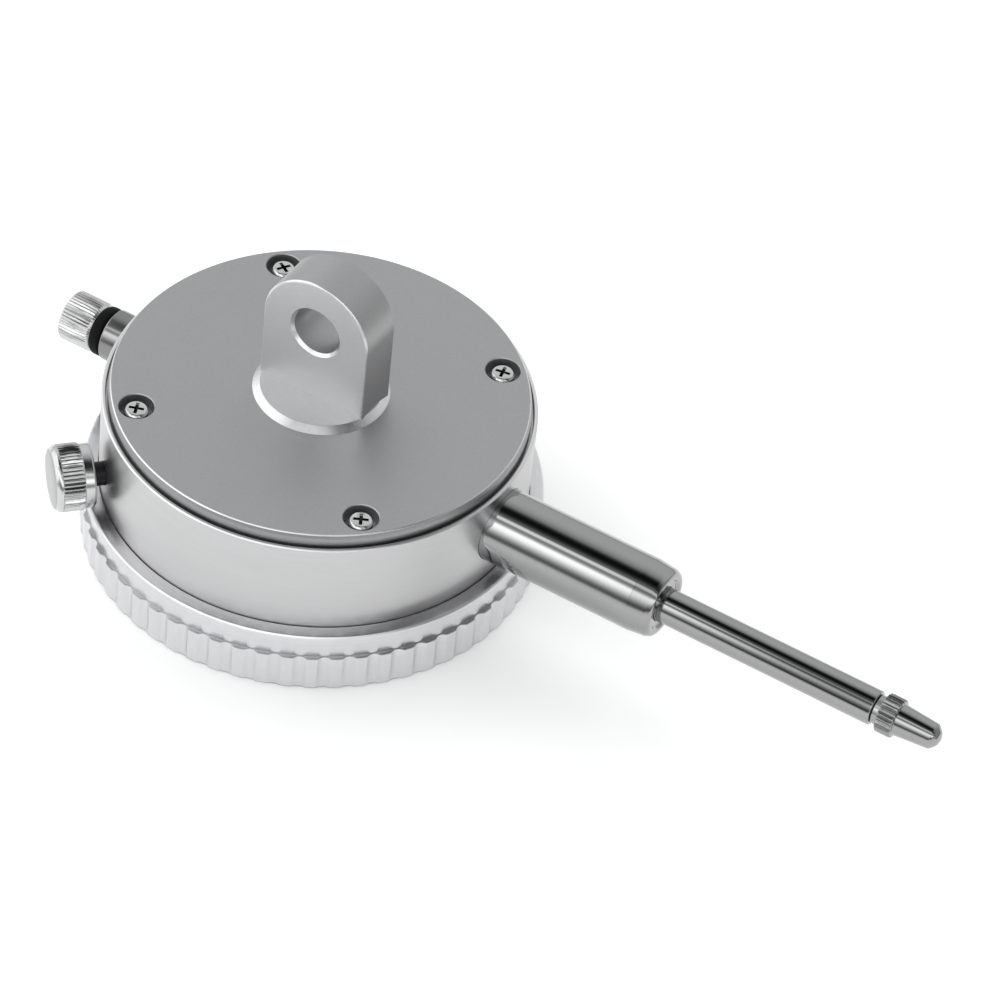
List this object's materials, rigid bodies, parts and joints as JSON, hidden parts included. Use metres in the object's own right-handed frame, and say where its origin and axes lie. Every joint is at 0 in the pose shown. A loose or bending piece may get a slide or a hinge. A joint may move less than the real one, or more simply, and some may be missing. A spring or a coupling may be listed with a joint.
{
  "type": "dial indicator",
  "caption": "Plunger dial indicator with a round case, fluted rotating bezel, clamp knob, straight stem and an upright lug on the back cover.",
  "frame": {"origin": "centre of the crystal's front face, in the plane of the bezel's front rim", "axes": "+Z from the dial face to the back cover, +X along the plunger towards the contact point, +Y completes a right-handed frame (9 o'clock on the dial)"},
  "size_m": [0.1251, 0.058, 0.0415],
  "materials": {
    "cast_aluminium": "matte, bead blasted and clear anodised",
    "turned_aluminium": "fine turned, satin",
    "ground_steel": "centreless ground and hardened",
    "polished_nickel": "nickel plated, polished",
    "brass": "stamped and hobbed",
    "blued_steel": "blued",
    "dial_white": "matte white",
    "black_rubber": "soft black",
    "crystal_clear": "clear acrylic"
  },
  "bodies": {
    "case": {"case": "cast_aluminium", "back_cover": "cast_aluminium", "cover_screw_1": "polished_nickel", "cover_screw_2": "polished_nickel", "cover_screw_3": "polished_nickel", "cover_screw_4": "polished_nickel", "stem": "ground_steel", "upper_bushing": "polished_nickel", "bezel_snap_wire": "ground_steel", "movement_bridge": "brass", "bridge_screw_1": "ground_steel", "bridge_screw_2": "ground_steel", "bridge_screw_3": "ground_steel", "bridge_screw_4": "ground_steel", "rack_cock": "brass", "cock_screw_1": "ground_steel", "cock_screw_2": "ground_steel", "guide_block": "brass", "guide_screw_1": "ground_steel", "guide_screw_2": "ground_steel", "spring_post": "ground_steel", "return_spring": "ground_steel", "hairspring": "blued_steel", "hairspring_stud": "ground_steel", "inner_dial": "dial_white", "dial_screw_1": "ground_steel", "dial_screw_2": "ground_steel", "clamp_shoe": "brass"},
    "plunger": {"plunger_rod": "ground_steel", "contact_point": "ground_steel", "top_cap": "polished_nickel", "buffer_ring": "black_rubber", "guide_pin": "ground_steel"},
    "bezel": {"bezel": "turned_aluminium", "crystal": "crystal_clear", "dial_ring": "dial_white"},
    "clamp_screw": {"clamp_knob": "polished_nickel"},
    "rack_arbor": {"rack_gear": "brass", "rack_pinion": "ground_steel"},
    "centre_arbor": {"centre_pinion": "ground_steel", "main_pointer": "blued_steel"},
    "counter_arbor": {"counter_gear": "brass", "counter_hand": "blued_steel"}
  },
  "joints": [
    {"name": "plunger_slide", "type": "slide", "parent": "case", "child": "plunger", "axis": [-1, 0, 0], "range_m": [0, 0.0254], "stiffness_N_per_m": 30, "springref_m": -0.02, "deforming": ["return_spring"]},
    {"name": "bezel_turn", "type": "hinge", "parent": "case", "child": "bezel", "pos_m": [0, 0, 0], "axis": [0, 0, 1], "continuous": true},
    {"name": "clamp_screw_turn", "type": "hinge", "parent": "case", "child": "clamp_screw", "pos_m": [-0.02107, -0.02205, 0.013], "axis": [0.6909, 0.723, 0], "range_deg": [0, 108]},
    {"name": "rack_gear_turn", "type": "hinge", "parent": "case", "child": "rack_arbor", "pos_m": [-0.00958, 0.00564, 0.00885], "axis": [0, 0, 1], "range_deg": [-365, 5]},
    {"name": "main_pointer_turn", "type": "hinge", "parent": "case", "child": "centre_arbor", "pos_m": [0, 0, 0.0082], "axis": [0, 0, 1], "range_deg": [-5, 3605]},
    {"name": "counter_turn", "type": "hinge", "parent": "case", "child": "counter_arbor", "pos_m": [0.01112, 0, 0.00745], "axis": [0, 0, 1], "range_deg": [-365, 5]}
  ],
  "couplings": [
    {"joint": "rack_gear_turn", "follows": "plunger_slide", "rad_per_m": -247.37},
    {"joint": "main_pointer_turn", "follows": "plunger_slide", "rad_per_m": 2473.7},
    {"joint": "counter_turn", "follows": "plunger_slide", "rad_per_m": -247.37}
  ]
}
